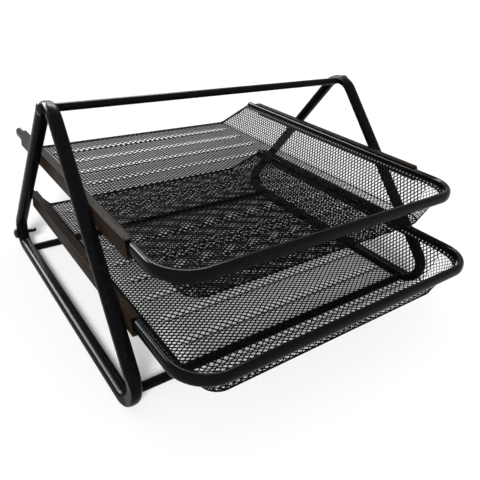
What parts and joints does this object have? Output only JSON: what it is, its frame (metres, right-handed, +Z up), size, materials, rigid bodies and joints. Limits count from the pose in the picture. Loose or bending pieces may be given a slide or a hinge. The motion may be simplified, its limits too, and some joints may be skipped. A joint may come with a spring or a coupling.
{
  "type": "desk letter tray",
  "caption": "Wire desk organizer: pressed mesh letter trays sliding in channel rails between triangular side loops of bent oval tube, joined by round crossbars.",
  "frame": {"origin": "on the desk surface, under the middle of the object's bounding box", "axes": "+X across the object to its right as seen from the front, +Y to the back, +Z up"},
  "size_m": [0.317, 0.3602, 0.1802],
  "materials": {
    "tube_black": "semi-gloss black coating",
    "sheet_black": "satin black coating",
    "rim_black": "semi-gloss black coating",
    "mesh_black": "satin black coating",
    "bolt_black": "black finish"
  },
  "bodies": {
    "frame": {"left_side_loop": "tube_black", "right_side_loop": "tube_black", "top_crossbar": "tube_black", "front_crossbar": "tube_black", "rear_crossbar": "tube_black", "left_top_bolt": "bolt_black", "right_top_bolt": "bolt_black", "left_rear_bolt": "bolt_black", "right_rear_bolt": "bolt_black", "upper_left_rail": "sheet_black", "upper_right_rail": "sheet_black", "lower_left_rail": "sheet_black", "lower_right_rail": "sheet_black"},
    "upper_tray": {"upper_tray_rim": "rim_black", "upper_tray_floor_mesh": "mesh_black", "upper_tray_front_wall_mesh": "mesh_black", "upper_tray_left_wall_mesh": "mesh_black", "upper_tray_right_wall_mesh": "mesh_black", "upper_tray_left_corner_mesh": "mesh_black", "upper_tray_right_corner_mesh": "mesh_black", "upper_tray_rear_hem": "rim_black"},
    "lower_tray": {"lower_tray_rim": "rim_black", "lower_tray_floor_mesh": "mesh_black", "lower_tray_front_wall_mesh": "mesh_black", "lower_tray_left_wall_mesh": "mesh_black", "lower_tray_right_wall_mesh": "mesh_black", "lower_tray_left_corner_mesh": "mesh_black", "lower_tray_right_corner_mesh": "mesh_black", "lower_tray_rear_hem": "rim_black"}
  },
  "joints": [
    {"name": "upper_tray_slide", "type": "slide", "parent": "frame", "child": "upper_tray", "axis": [0, -1, 0], "range_m": [-0.015, 0.15]},
    {"name": "lower_tray_slide", "type": "slide", "parent": "frame", "child": "lower_tray", "axis": [0, -1, 0], "range_m": [-0.036, 0.15]}
  ]
}
